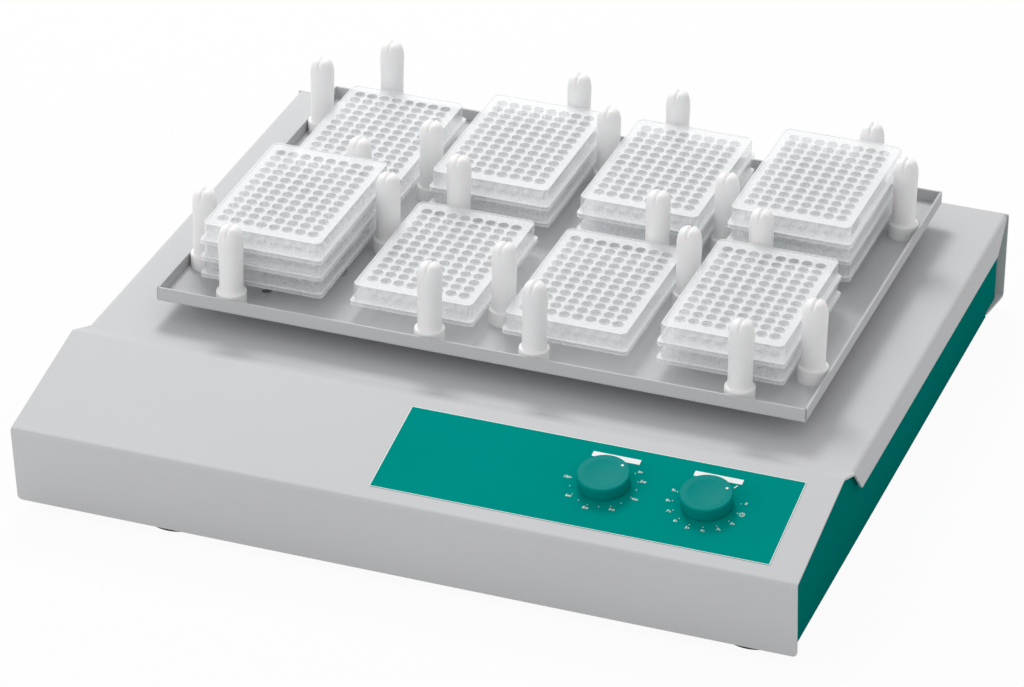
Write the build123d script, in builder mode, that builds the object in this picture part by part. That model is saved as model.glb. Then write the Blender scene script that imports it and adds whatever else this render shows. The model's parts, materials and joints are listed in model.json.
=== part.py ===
from build123d import *
from math import atan2, cos, degrees, hypot, radians, sin, tan
import os

# Microplate shaker. A folded sheet housing with a slanted control panel carries a pinned tray,
# which an eccentric drive swings in a small circle, without turning it, under stacks of plates.
# Millimetres, X to the right, Y to the back, Z up. The table is z = 0.

os.makedirs("parts", exist_ok=True)

# Cover: one sheet folded into lip, slanted panel, ridge, deck, rear panel and return flange.
housing_width = 520.0
cover_sheet = 1.5
front_y = -247.25
rear_y = 245.0
lip_foot_z = 6.0
lip_top_z = 61.5
lip_lean = 7.0
lip_corner_radius = 3.0
panel_slope = 12.14
panel_length = 99.5
ridge_run = 22.7
deck_top = 73.2
fold_radius = 2.5
rear_fold_radius = 4.5
return_foot_z = 8.5
return_depth = 31.0
return_taper = 3.4
flange_drop = 22.0
flange_slant = 20.0
flange_fold_radius = 3.5

# Tub: the deep tray-shaped chassis inside the cover.
tub_width = 512.0
tub_wall = 2.0
tub_rear_gap = 1.3
tub_corner_radius = 8.0
tub_foot_z = 7.2
floor_lift = 3.0
cover_gap = 0.3
floor_slot_length = 34.0
floor_slot_width = 4.0
floor_slot_pitch = 10.0
floor_slot_rows = 5
floor_slot_x = -165.0
floor_slot_y = -95.0

# Feet and their screws.
foot_radius = 23.5
foot_edge_radius = 4.0
foot_places = [(-159.0, -212.5), (226.0, -212.5), (-159.0, 186.0), (226.0, 186.0)]
foot_screw_radius = 2.5
foot_screw_head_radius = 5.0
foot_screw_head = 2.5
foot_screw_sink = 3.0
foot_screw_grip = 5.0

# Control panel. u runs to the right from the middle, v up the panel from the lip's top edge.
overlay_left = -21.4
overlay_right = 238.7
overlay_low = 12.5
overlay_high = 89.5
overlay_film = 0.3
speed_dial_u = 118.5
timer_dial_u = 185.2
dial_v = 54.2
knob_radius = 16.85
knob_foot_radius = 16.3
knob_top = 9.7
knob_gap = 0.7
knob_edge_radius = 1.2
knob_roof = 1.6
knob_wall = 2.2
knob_dish_radius = 12.0
knob_dish_depth = 0.5
knob_hub_radius = 5.4
speed_pointer_angle = 45.0
timer_pointer_angle = 32.6
pointer_place_radius = 13.3
pointer_radius = 0.9
pointer_depth = 0.3
bushing_radius = 5.0
bushing_rise = 4.2
control_nut_size = 14.0
control_nut_height = 2.4
control_body_radius = 12.5
control_body_depth = 11.0
timer_body_size = 30.0
timer_body_depth = 17.0
spindle_radius = 3.0
spindle_depth = 9.0
spindle_hub_grip = 3.2

# Control board, parallel to the panel.
board_depth = 24.0
board_sheet = 1.6
board_left = 84.0
board_right = 226.0
board_low = 18.0
board_high = 90.0
standoff_radius = 3.5
standoff_inset = 6.0
relay_size = 19.0
relay_height = 15.0
capacitor_radius = 6.0
capacitor_height = 18.0
heat_sink_length = 40.0
heat_sink_width = 14.0
heat_sink_height = 16.0

# Mains inlet in the rear panel.
inlet_x = 178.0
inlet_z = 42.0
inlet_flange_width = 50.0
inlet_flange_height = 23.0
inlet_flange = 2.0
inlet_body_width = 28.0
inlet_body_height = 20.0
inlet_body_depth = 30.0
inlet_cut_gap = 0.4
socket_width = 24.4
socket_height = 16.5
socket_depth = 15.0
socket_corner = 3.5
blade_width = 4.0
blade_sheet = 2.0
blade_reach = 11.0
blade_root = 5.0
blade_pitch = 7.0
blade_drop = 3.0
earth_blade_rise = 1.5

# Transformer on the floor, left of the board.
transformer_x = -165.0
transformer_y = -172.0
core_width = 62.0
core_depth = 24.0
core_height = 50.0
core_leg = 12.0
coil_gap = 0.3
coil_overhang = 9.0

# Tray and pins.
tray_x = 0.0
tray_y = 53.9
tray_half_width = 220.7
tray_half_depth = 157.5
tray_bottom = 87.8
tray_sheet = 1.5
tray_rim = 10.0
tray_fold_radius = 2.0
tray_slit = 0.9
tray_hole_radius = 3.75
tray_hole_x = -158.2
tray_hole_y = -121.0
pin_rise = 56.8
pin_collar_radius = 10.0
pin_collar_rise = 10.1
pin_collar_edge = 1.0
pin_foot_radius = 7.95
pin_head_radius = 8.35
pin_head_drop = 11.0
pin_crown_radius = 5.6
pin_crown_drop = 1.6
pin_crown_bulge = 0.6
pin_slit = 1.2
pin_slit_depth = 20.0
pin_screw_radius = 2.0
pin_screw_head_radius = 4.0
pin_screw_head = 2.4
pin_screw_grip = 7.0
pin_rows = {
    "pins_front": [(-145.2, [-173.0, -35.6, 35.6, 173.0]), (-103.8, [-208.6, 0.0, 208.6])],
    "pins_middle": [(-40.5, [-104.3, 104.3]), (0.0, [-140.6, -69.6, 69.6, 140.6]), (40.5, [-104.3, 104.3])],
    "pins_rear": [(103.8, [-208.6, 0.0, 208.6]), (145.2, [-173.0, -35.6, 35.6, 173.0])],
}

# Plates: the standard footprint, eight across and twelve deep in wells.
plate_width = 85.48
plate_depth = 127.76
plate_height = 14.35
plate_skirt = 2.8
plate_inset = 1.8
plate_corner_radius = 3.18
plate_top_chamfer = 3.0
plate_nest = 2.15
plate_nest_gap = 0.3
plate_pitch_x = 104.3
plate_row_y = 72.6
plate_counts = {"front": [3, 1, 1, 2], "rear": [1, 2, 2, 3]}

# Eccentric drive.
orbit_radius = 1.5
running_gap = 0.05
seat_gap = 0.02
face_gap = 0.5
idler_reach_x = 150.0
idler_reach_y = 100.0
carrier_sheet = 8.0
carrier_arm_width = 30.0
carrier_hub_radius = 28.0
carrier_end_radius = 19.0
carrier_top_z = 64.5
crank_web = 5.0
crank_collar = 1.0
crank_web_radius = 15.0
crank_collar_radius = 7.5
crank_pin_radius = 5.0
drive_shaft_radius = 6.0
main_bearing_radius = 14.0
crank_bearing_radius = 13.0
bearing_width = 8.0
counterweight_radius = 45.0
counterweight_arc = 180.0
idler_web_radius = 13.0
idler_collar_radius = 6.0
idler_pin_radius = 4.0
idler_shaft_radius = 5.0
idler_bearing_radius = 13.0
idler_end_bearing_radius = 11.0
block_radius = 19.0
block_flange_radius = 28.0
block_flange = 5.0
block_shoulder = 3.0
bridge_size = 110.0
bridge_sheet = 6.0
bridge_low_z = 32.0
bridge_leg_radius = 7.0
bridge_leg_inset = 10.0
bridge_hub_radius = 20.0
bridge_hub_drop = 5.0
pulley_radius = 35.0
pulley_flange_rise = 1.5
pulley_flange = 1.0
pulley_width = 9.0
pulley_low_z = 17.0
motor_pulley_radius = 12.0
belt_sheet = 1.2
belt_gap = 0.3
motor_reach = 105.0
motor_radius = 25.0
motor_length = 36.0
motor_nose_radius = 10.0
motor_shaft_radius = 3.0
motor_edge_radius = 2.0
bracket_size = 64.0
bracket_sheet = 3.0
bracket_top_z = 33.0
bracket_foot = 14.0
post_radius = 10.0
post_fraction = 0.82
post_hole_gap = 1.5
tray_screw_radius = 3.0
tray_screw_head_radius = 5.5
tray_screw_head = 3.0
tray_screw_grip = 12.0
drive_screw_head_radius = 3.5
drive_screw_head = 3.0

# Cover screws through the return flange, from below.
cover_screw_x = 200.0
cover_screw_inset = 16.0
cover_screw_radius = 1.75
cover_screw_head_radius = 3.5
cover_screw_head = 1.8

# Two lengths closer than this are the same.
length_match = 0.001

# Sizes that follow from the driving ones.
half_width = housing_width / 2
tub_half = tub_width / 2
lip_foot = (front_y + (lip_top_z - lip_foot_z) * tan(radians(lip_lean)), lip_foot_z)
lip_top = (front_y, lip_top_z)
ridge = (
    front_y + panel_length * cos(radians(panel_slope)),
    lip_top_z + panel_length * sin(radians(panel_slope)),
)
valley = (ridge[0] + ridge_run, deck_top)
deck_under = deck_top - cover_sheet
flange_foot_z = deck_top - flange_drop
flange_front_y = valley[0] + fold_radius / 2
flange_rear_y = rear_y - rear_fold_radius
cover_screw_places = [(side * cover_screw_x, rear_y - cover_screw_inset) for side in (-1, 1)]
tub_inset = cover_sheet + cover_gap
tub_rear_y = rear_y - cover_sheet - tub_rear_gap
floor_under = tub_foot_z + floor_lift
floor_top = floor_under + tub_wall
tray_floor = tray_bottom + tray_sheet
plate_seat = tray_floor + pin_collar_rise
plate_step = plate_height - plate_nest
pin_places = [(x, y) for rows in pin_rows.values() for y, row in rows for x in row]
drive_x = tray_x - orbit_radius
idler_places = [(sx * idler_reach_x, sy * idler_reach_y) for sx in (-1, 1) for sy in (-1, 1)]
post_places = [(post_fraction * x, post_fraction * y) for x, y in idler_places]
post_hole_radius = post_radius + orbit_radius + post_hole_gap
carrier_low_z = carrier_top_z - carrier_sheet
seat_low_z = carrier_low_z + running_gap
web_top_z = carrier_low_z - crank_collar
web_low_z = web_top_z - crank_web
block_top_z = web_low_z - face_gap
motor_x = drive_x - motor_reach
belt_low_z = pulley_low_z + pulley_flange + belt_gap
belt_width = pulley_width - 2 * pulley_flange - 2 * belt_gap
bridge_legs = bridge_size - 2 * bridge_leg_inset

# The panel's plane, with the dials' centres on it.
panel_plane = Plane(
    origin=(0, front_y, lip_top_z),
    x_dir=(1, 0, 0),
    z_dir=(0, -sin(radians(panel_slope)), cos(radians(panel_slope))),
)
dials = {"speed": speed_dial_u, "timer": timer_dial_u}


def save(piece, name):
    """Label a finished piece and write it to its own file."""
    piece.part.label = name
    export_step(piece.part, f"parts/{name}.step")


def lip_point(z):
    """The point of the lip's outer plane at a height."""
    return (front_y + (lip_top_z - z) * tan(radians(lip_lean)), z)


def at_tray(places):
    """Places given from the tray's middle, in the part's own frame."""
    return [(tray_x + x, tray_y + y) for x, y in places]


def at_cranks(places):
    """The fixed axes that belong to places of the tray, one orbit radius to the left."""
    return [(drive_x + x, tray_y + y) for x, y in places]


# Cover
with BuildPart() as cover:
    with BuildSketch(Plane.YZ):
        with BuildLine():
            FilletPolyline(
                lip_foot,
                lip_top,
                ridge,
                valley,
                (rear_y, deck_top),
                (rear_y, return_foot_z),
                (rear_y - return_depth, return_foot_z),
                radius=[fold_radius, fold_radius, fold_radius, rear_fold_radius, fold_radius],
            )
            offset(amount=cover_sheet, side=Side.RIGHT)
        make_face()
    extrude(amount=half_width, both=True)
    # The deck's two long edges fold down into flanges with slanted ends.
    with BuildSketch(Plane.XZ.offset(-flange_rear_y)):
        for side in (-1, 1):
            with Locations((side * (half_width - flange_fold_radius / 2), deck_top - cover_sheet / 2)):
                Rectangle(flange_fold_radius, cover_sheet)
    extrude(amount=flange_rear_y - flange_front_y, mode=Mode.SUBTRACT)
    with BuildSketch(Plane.XZ.offset(-flange_rear_y)):
        with BuildLine():
            FilletPolyline(
                (half_width - 2 * flange_fold_radius, deck_top),
                (half_width, deck_top),
                (half_width, flange_foot_z),
                radius=flange_fold_radius,
            )
            offset(amount=cover_sheet, side=Side.RIGHT)
        make_face()
        mirror(about=Plane.YZ)
    extrude(amount=flange_rear_y - flange_front_y)
    with BuildSketch(Plane.YZ):
        with BuildLine():
            Polyline(
                (flange_front_y, deck_under),
                (flange_front_y + flange_slant, flange_foot_z),
                (flange_front_y, flange_foot_z),
                close=True,
            )
        make_face()
        with BuildLine():
            Polyline(
                (flange_rear_y, deck_under),
                (flange_rear_y - flange_slant, flange_foot_z),
                (flange_rear_y, flange_foot_z),
                close=True,
            )
        make_face()
    extrude(amount=half_width, both=True, mode=Mode.SUBTRACT)
    # The return flange narrows towards its free edge.
    with BuildSketch(Plane.XY.offset(return_foot_z)):
        with BuildLine():
            Polyline(
                (half_width, rear_y - rear_fold_radius),
                (half_width, rear_y - return_depth),
                (half_width - return_taper, rear_y - return_depth),
                close=True,
            )
        make_face()
        mirror(about=Plane.YZ)
    extrude(amount=cover_sheet, mode=Mode.SUBTRACT)
    lip_corners = cover.edges().filter_by(lambda edge: abs(edge.length - cover_sheet) < length_match)
    fillet(lip_corners.group_by(Axis.Z)[0], radius=lip_corner_radius)
    # Holes for the tray's posts, the controls, the inlet and the screws.
    with BuildSketch(Plane.XY.offset(deck_top)):
        with Locations(*at_cranks(post_places)):
            Circle(post_hole_radius)
    extrude(amount=-cover_sheet, mode=Mode.SUBTRACT)
    with BuildSketch(panel_plane):
        with Locations(*[(u, dial_v) for u in dials.values()]):
            Circle(bushing_radius + running_gap)
    extrude(amount=-cover_sheet, mode=Mode.SUBTRACT)
    with BuildSketch(Plane.XZ.offset(-rear_y)):
        with Locations((inlet_x, inlet_z)):
            Rectangle(inlet_body_width + 2 * inlet_cut_gap, inlet_body_height + 2 * inlet_cut_gap)
    extrude(amount=cover_sheet, mode=Mode.SUBTRACT)
    with BuildSketch(Plane.XY.offset(return_foot_z)):
        with Locations(*cover_screw_places):
            Circle(cover_screw_radius + running_gap)
    extrude(amount=cover_sheet, mode=Mode.SUBTRACT)
save(cover, "cover")

# Tub: the hollow first, with rounded rear corners, then the shell around it.
with BuildPart() as tub_hollow:
    with BuildSketch(Plane.YZ):
        with BuildLine():
            Polyline(
                lip_point(floor_top - tub_inset - tub_wall),
                lip_point(2 * ridge[1]),
                (tub_rear_y + tub_inset, 2 * ridge[1]),
                (tub_rear_y + tub_inset, floor_top - tub_inset - tub_wall),
                close=True,
            )
        make_face()
        offset(amount=-(tub_inset + tub_wall), kind=Kind.INTERSECTION)
    extrude(amount=tub_half - tub_wall, both=True)
    fillet(tub_hollow.edges().filter_by(Axis.Z).group_by(Axis.Y)[-1], radius=tub_corner_radius - tub_wall)

with BuildPart() as tub:
    with BuildSketch(Plane.YZ):
        with BuildLine():
            Polyline(
                lip_point(tub_foot_z - tub_inset),
                lip_top,
                ridge,
                valley,
                (tub_rear_y + tub_inset - rear_fold_radius, deck_top),
                (tub_rear_y + tub_inset, deck_top - rear_fold_radius),
                (tub_rear_y + tub_inset, tub_foot_z - tub_inset),
                close=True,
            )
        make_face()
        offset(amount=-tub_inset, kind=Kind.INTERSECTION)
    extrude(amount=tub_half, both=True)
    fillet(tub.edges().filter_by(Axis.Z).group_by(Axis.Y)[-1], radius=tub_corner_radius)
    add(tub_hollow.part, mode=Mode.SUBTRACT)
    # The floor sits above the walls' foot, and the rear is cut back over the return flange.
    with BuildSketch(Plane.XY.offset(tub_foot_z)):
        recess_front = lip_point(floor_under)[0] + tub_inset + tub_wall
        recess_rear = rear_y - return_depth - cover_sheet
        with Locations((0, (recess_front + recess_rear) / 2)):
            Rectangle(tub_width - 2 * tub_wall, recess_rear - recess_front)
        with Locations((0, (recess_rear + rear_y) / 2)):
            Rectangle(housing_width, rear_y - recess_rear)
    extrude(amount=floor_lift, mode=Mode.SUBTRACT)
    with BuildSketch(Plane.XY.offset(floor_under)):
        with Locations((floor_slot_x, floor_slot_y)):
            with GridLocations(0, floor_slot_pitch, 1, floor_slot_rows):
                SlotOverall(floor_slot_length, floor_slot_width)
        with Locations(*foot_places):
            Circle(foot_screw_radius + running_gap)
        with Locations(*cover_screw_places):
            Circle(cover_screw_radius + running_gap)
    extrude(amount=tub_wall, mode=Mode.SUBTRACT)
    with BuildSketch(Plane.XZ.offset(-tub_rear_y)):
        with Locations((inlet_x, inlet_z)):
            Rectangle(inlet_body_width + 2 * inlet_cut_gap, inlet_body_height + 2 * inlet_cut_gap)
    extrude(amount=tub_wall, mode=Mode.SUBTRACT)
save(tub, "tub")

# Feet: rubber discs with a rounded lower edge and a sunk screw.
with BuildPart() as feet:
    with BuildSketch():
        with Locations(*foot_places):
            Circle(foot_radius)
    extrude(amount=floor_under)
    fillet(feet.edges().group_by(Axis.Z)[0], radius=foot_edge_radius)
    with BuildSketch():
        with Locations(*foot_places):
            Circle(foot_screw_head_radius + face_gap)
    extrude(amount=foot_screw_sink + foot_screw_head, mode=Mode.SUBTRACT)
    with BuildSketch():
        with Locations(*foot_places):
            Circle(foot_screw_radius + running_gap)
    extrude(amount=floor_under, mode=Mode.SUBTRACT)
save(feet, "feet")

# Screws that hold the feet and, through the return flange, the cover.
with BuildPart() as housing_screws:
    with BuildSketch(Plane.XY.offset(foot_screw_sink)):
        with Locations(*foot_places):
            RegularPolygon(foot_screw_head_radius, 6)
    extrude(amount=foot_screw_head)
    with BuildSketch(Plane.XY.offset(foot_screw_sink + foot_screw_head)):
        with Locations(*foot_places):
            Circle(foot_screw_radius)
    extrude(amount=floor_top + foot_screw_grip - foot_screw_sink - foot_screw_head)
    with BuildSketch(Plane.XY.offset(return_foot_z)):
        with Locations(*cover_screw_places):
            RegularPolygon(cover_screw_head_radius, 6)
    extrude(amount=-cover_screw_head)
    with BuildSketch(Plane.XY.offset(return_foot_z)):
        with Locations(*cover_screw_places):
            Circle(cover_screw_radius)
    extrude(amount=floor_top + foot_screw_grip - return_foot_z)
save(housing_screws, "housing_screws")

# Control panel film.
with BuildPart() as control_overlay:
    with BuildSketch(panel_plane):
        with Locations(((overlay_left + overlay_right) / 2, (overlay_low + overlay_high) / 2)):
            Rectangle(overlay_right - overlay_left, overlay_high - overlay_low)
        with Locations(*[(u, dial_v) for u in dials.values()]):
            Circle(bushing_radius + running_gap, mode=Mode.SUBTRACT)
    extrude(amount=overlay_film)
save(control_overlay, "control_overlay")

# Knobs: a shallow cap with a dished top, hollow below around its hub, and a pointer dimple.
knob_rise = Axis(panel_plane.origin, panel_plane.z_dir)
hub_low = bushing_rise + face_gap
dish_sphere = (knob_dish_radius**2 + knob_dish_depth**2) / (2 * knob_dish_depth)
dish_plane = panel_plane.offset(knob_top + dish_sphere - knob_dish_depth)
pointers = {"speed": speed_pointer_angle, "timer": timer_pointer_angle}
for dial, u in dials.items():
    with BuildPart() as knob:
        with BuildSketch(panel_plane.offset(knob_gap)):
            with Locations((u, dial_v)):
                Circle(knob_foot_radius)
        with BuildSketch(panel_plane.offset(knob_top)):
            with Locations((u, dial_v)):
                Circle(knob_radius)
        loft()
        fillet(knob.faces().sort_by(knob_rise)[-1].edges(), radius=knob_edge_radius)
        with BuildSketch(panel_plane.offset(knob_gap)):
            with Locations((u, dial_v)):
                Circle(knob_foot_radius - knob_wall)
        extrude(amount=knob_top - knob_roof - knob_gap, mode=Mode.SUBTRACT)
        with BuildSketch(panel_plane.offset(hub_low)):
            with Locations((u, dial_v)):
                Circle(knob_hub_radius)
                Circle(spindle_radius + seat_gap, mode=Mode.SUBTRACT)
        extrude(amount=knob_top - knob_roof - hub_low)
        with Locations(dish_plane * Location((u, dial_v, 0))):
            Sphere(dish_sphere, mode=Mode.SUBTRACT)
        with BuildSketch(panel_plane.offset(knob_top)):
            with Locations((u, dial_v)):
                with PolarLocations(pointer_place_radius, 1, start_angle=pointers[dial]):
                    Circle(pointer_radius)
        extrude(amount=-pointer_depth, mode=Mode.SUBTRACT)
    save(knob, f"{dial}_knob")

    with BuildPart() as spindle:
        with BuildSketch(panel_plane.offset(-cover_sheet - spindle_depth)):
            with Locations((u, dial_v)):
                Circle(spindle_radius)
        extrude(amount=cover_sheet + spindle_depth + hub_low + spindle_hub_grip)
    save(spindle, f"{dial}_spindle")

# Control bodies under the panel: a round potentiometer and a square timer, each on a bushing.
control_shapes = {"speed": control_body_depth, "timer": timer_body_depth}
for dial, u in dials.items():
    with BuildPart() as control_body:
        with BuildSketch(panel_plane.offset(-cover_sheet)):
            with Locations((u, dial_v)):
                if dial == "speed":
                    Circle(control_body_radius)
                else:
                    RectangleRounded(timer_body_size, timer_body_size, lip_corner_radius)
        extrude(amount=-control_shapes[dial])
        with BuildSketch(panel_plane.offset(-cover_sheet)):
            with Locations((u, dial_v)):
                Circle(bushing_radius)
        extrude(amount=cover_sheet + bushing_rise)
        with BuildSketch(panel_plane.offset(bushing_rise)):
            with Locations((u, dial_v)):
                Circle(spindle_radius + running_gap)
        extrude(amount=-(bushing_rise + cover_sheet + spindle_depth + running_gap), mode=Mode.SUBTRACT)
    save(control_body, f"{dial}_control_body")

with BuildPart() as control_nuts:
    with BuildSketch(panel_plane.offset(overlay_film)):
        with Locations(*[(u, dial_v) for u in dials.values()]):
            RegularPolygon(control_nut_size / 2, 6, major_radius=False)
            Circle(bushing_radius + seat_gap, mode=Mode.SUBTRACT)
    extrude(amount=control_nut_height)
save(control_nuts, "control_nuts")

# Control board on four stand-offs, with its tall components on the far side.
board_middle = ((board_left + board_right) / 2, (board_low + board_high) / 2)
board_size = (board_right - board_left, board_high - board_low)
with BuildPart() as control_board:
    with BuildSketch(panel_plane.offset(-board_depth)):
        with Locations(board_middle):
            Rectangle(*board_size)
    extrude(amount=-board_sheet)
save(control_board, "control_board")

with BuildPart() as board_standoffs:
    with BuildSketch(panel_plane.offset(-cover_sheet)):
        with Locations(board_middle):
            with GridLocations(board_size[0] - 2 * standoff_inset, board_size[1] - 2 * standoff_inset, 2, 2):
                RegularPolygon(standoff_radius, 6)
    extrude(amount=-(board_depth - cover_sheet))
save(board_standoffs, "board_standoffs")

with BuildPart() as board_parts:
    with BuildSketch(panel_plane.offset(-board_depth - board_sheet)):
        with Locations((board_left + relay_size, board_low + relay_size)):
            Rectangle(relay_size, relay_size)
    extrude(amount=-relay_height)
    with BuildSketch(panel_plane.offset(-board_depth - board_sheet)):
        with Locations((board_left + 3 * relay_size, board_low + relay_size)):
            with GridLocations(3 * capacitor_radius, 0, 2, 1):
                Circle(capacitor_radius)
    extrude(amount=-capacitor_height)
    with BuildSketch(panel_plane.offset(-board_depth - board_sheet)):
        with Locations((board_right - heat_sink_length, board_low + relay_size)):
            Rectangle(heat_sink_length, heat_sink_width)
    extrude(amount=-heat_sink_height)
save(board_parts, "board_parts")

# Mains inlet: a flanged body through the rear panel, with three blades in its socket.
with BuildPart() as mains_inlet:
    with BuildSketch(Plane.XZ.offset(-rear_y)):
        with Locations((inlet_x, inlet_z)):
            RectangleRounded(inlet_flange_width, inlet_flange_height, lip_corner_radius)
    extrude(amount=-inlet_flange)
    with BuildSketch(Plane.XZ.offset(-rear_y)):
        with Locations((inlet_x, inlet_z)):
            Rectangle(inlet_body_width, inlet_body_height)
    extrude(amount=inlet_body_depth)
    with BuildSketch(Plane.XZ.offset(-rear_y - inlet_flange)):
        with Locations((inlet_x, inlet_z)):
            RectangleRounded(socket_width, socket_height, socket_corner)
    extrude(amount=socket_depth, mode=Mode.SUBTRACT)
    with BuildSketch(Plane.XZ.offset(-rear_y - inlet_flange + socket_depth)):
        with Locations((inlet_x, inlet_z - blade_drop)):
            with GridLocations(2 * blade_pitch, 0, 2, 1):
                Rectangle(blade_sheet, blade_width)
        with Locations((inlet_x, inlet_z + earth_blade_rise)):
            Rectangle(blade_sheet, blade_width)
    extrude(amount=blade_root, mode=Mode.SUBTRACT)
save(mains_inlet, "mains_inlet")

with BuildPart() as inlet_blades:
    with BuildSketch(Plane.XZ.offset(-rear_y - inlet_flange + socket_depth + blade_root)):
        with Locations((inlet_x, inlet_z - blade_drop)):
            with GridLocations(2 * blade_pitch, 0, 2, 1):
                Rectangle(blade_sheet, blade_width)
        with Locations((inlet_x, inlet_z + earth_blade_rise)):
            Rectangle(blade_sheet, blade_width)
    extrude(amount=-(blade_root + blade_reach))
save(inlet_blades, "inlet_blades")

# Transformer: a laminated core with two windows and the coil on its middle leg.
with BuildPart() as transformer_core:
    with BuildSketch(Plane.XZ.offset(-(transformer_y + core_depth / 2))):
        with Locations((transformer_x, floor_top + core_height / 2)):
            Rectangle(core_width, core_height)
            window = (core_width - 3 * core_leg) / 2
            with GridLocations(window + core_leg, 0, 2, 1):
                Rectangle(window, core_height - 2 * core_leg, mode=Mode.SUBTRACT)
    extrude(amount=core_depth)
save(transformer_core, "transformer_core")

with BuildPart() as transformer_coil:
    with BuildSketch(Plane.XY.offset(floor_top + core_leg + coil_gap)):
        with Locations((transformer_x, transformer_y)):
            Rectangle(core_width - 2 * core_leg - 2 * coil_gap, core_depth + 2 * coil_overhang)
            Rectangle(core_leg + 2 * coil_gap, core_depth + 2 * coil_gap, mode=Mode.SUBTRACT)
    extrude(amount=core_height - 2 * core_leg - 2 * coil_gap)
save(transformer_coil, "transformer_coil")

# Bearing bridge over the driven pulley: a plate on four legs with the bearing housing in it.
shoulder_bore = main_bearing_radius - block_shoulder
with BuildPart() as bearing_bridge:
    with BuildSketch(Plane.XY.offset(bridge_low_z)):
        with Locations((drive_x, tray_y)):
            RectangleRounded(bridge_size, bridge_size, bridge_leg_inset)
    extrude(amount=bridge_sheet)
    with BuildSketch(Plane.XY.offset(floor_top)):
        with Locations((drive_x, tray_y)):
            with GridLocations(bridge_legs, bridge_legs, 2, 2):
                Circle(bridge_leg_radius)
    extrude(amount=bridge_low_z - floor_top)
    with BuildSketch(Plane.XY.offset(bridge_low_z - bridge_hub_drop)):
        with Locations((drive_x, tray_y)):
            Circle(bridge_hub_radius)
    extrude(amount=block_top_z - bridge_low_z + bridge_hub_drop)
    with Locations((drive_x, tray_y, bridge_low_z - bridge_hub_drop)):
        Cylinder(
            shoulder_bore,
            block_top_z - bridge_low_z + bridge_hub_drop,
            align=(Align.CENTER, Align.CENTER, Align.MIN),
            mode=Mode.SUBTRACT,
        )
        Cylinder(
            main_bearing_radius + seat_gap,
            bearing_width,
            align=(Align.CENTER, Align.CENTER, Align.MIN),
            mode=Mode.SUBTRACT,
        )
    with Locations((drive_x, tray_y, block_top_z)):
        Cylinder(
            main_bearing_radius + seat_gap,
            bearing_width,
            align=(Align.CENTER, Align.CENTER, Align.MAX),
            mode=Mode.SUBTRACT,
        )
save(bearing_bridge, "bearing_bridge")

with BuildPart() as main_bearings:
    for low_z in (bridge_low_z - bridge_hub_drop, block_top_z - bearing_width):
        with BuildSketch(Plane.XY.offset(low_z)):
            with Locations((drive_x, tray_y)):
                Circle(main_bearing_radius)
                Circle(drive_shaft_radius + running_gap, mode=Mode.SUBTRACT)
        extrude(amount=bearing_width)
save(main_bearings, "main_bearings")

# Drive shaft: pulley seat, web, collar and the crank pin that is one orbit radius off its axis.
with BuildPart() as drive_shaft:
    with BuildSketch(Plane.XY.offset(pulley_low_z)):
        with Locations((drive_x, tray_y)):
            Circle(drive_shaft_radius)
    extrude(amount=web_low_z - pulley_low_z)
    with BuildSketch(Plane.XY.offset(web_low_z)):
        with Locations((drive_x, tray_y)):
            Circle(crank_web_radius)
    extrude(amount=crank_web)
    with BuildSketch(Plane.XY.offset(web_top_z)):
        with Locations((tray_x, tray_y)):
            Circle(crank_collar_radius)
    extrude(amount=crank_collar)
    with BuildSketch(Plane.XY.offset(carrier_low_z)):
        with Locations((tray_x, tray_y)):
            Circle(crank_pin_radius)
    extrude(amount=carrier_sheet)
save(drive_shaft, "drive_shaft")

# Counterweight: a half disc clamped round the web, opposite the crank pin.
with BuildPart() as counterweight:
    with BuildSketch(Plane.XY.offset(web_low_z)):
        with Locations((drive_x, tray_y)):
            Circle(crank_web_radius + block_flange)
        with BuildLine():
            CenterArc((drive_x, tray_y), counterweight_radius, 180 - counterweight_arc / 2, counterweight_arc)
            Line((drive_x, tray_y + counterweight_radius), (drive_x, tray_y - counterweight_radius))
        make_face()
        with Locations((drive_x, tray_y)):
            Circle(crank_web_radius + seat_gap, mode=Mode.SUBTRACT)
    extrude(amount=crank_web)
save(counterweight, "counterweight")

# Pulleys: a rim between two flanges; the motor's one is smaller by the belt's ratio.
pulleys = {
    "driven_pulley": (drive_x, pulley_radius, drive_shaft_radius),
    "motor_pulley": (motor_x, motor_pulley_radius, motor_shaft_radius),
}
for name, (axis_x, rim_radius, shaft_radius) in pulleys.items():
    with BuildPart() as pulley:
        with BuildSketch(Plane.XY.offset(pulley_low_z)):
            with Locations((axis_x, tray_y)):
                Circle(rim_radius)
        extrude(amount=pulley_width)
        for low_z in (pulley_low_z, pulley_low_z + pulley_width - pulley_flange):
            with BuildSketch(Plane.XY.offset(low_z)):
                with Locations((axis_x, tray_y)):
                    Circle(rim_radius + pulley_flange_rise)
            extrude(amount=pulley_flange)
        with BuildSketch(Plane.XY.offset(pulley_low_z)):
            with Locations((axis_x, tray_y)):
                Circle(shaft_radius + seat_gap)
        extrude(amount=pulley_width, mode=Mode.SUBTRACT)
    save(pulley, name)

# Belt: the hull of the two pulleys, one sheet thick.
belt_paths = {}
for layer in (belt_gap, belt_gap + belt_sheet):
    with BuildSketch(Plane.XY.offset(belt_low_z)) as belt_path:
        with Locations((drive_x, tray_y)):
            Circle(pulley_radius + layer)
        with Locations((motor_x, tray_y)):
            Circle(motor_pulley_radius + layer)
        make_hull()
    belt_paths[layer] = belt_path
with BuildPart() as drive_belt:
    extrude(belt_paths[belt_gap + belt_sheet].sketch, amount=belt_width)
    extrude(belt_paths[belt_gap].sketch, amount=belt_width, mode=Mode.SUBTRACT)
save(drive_belt, "drive_belt")

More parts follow.
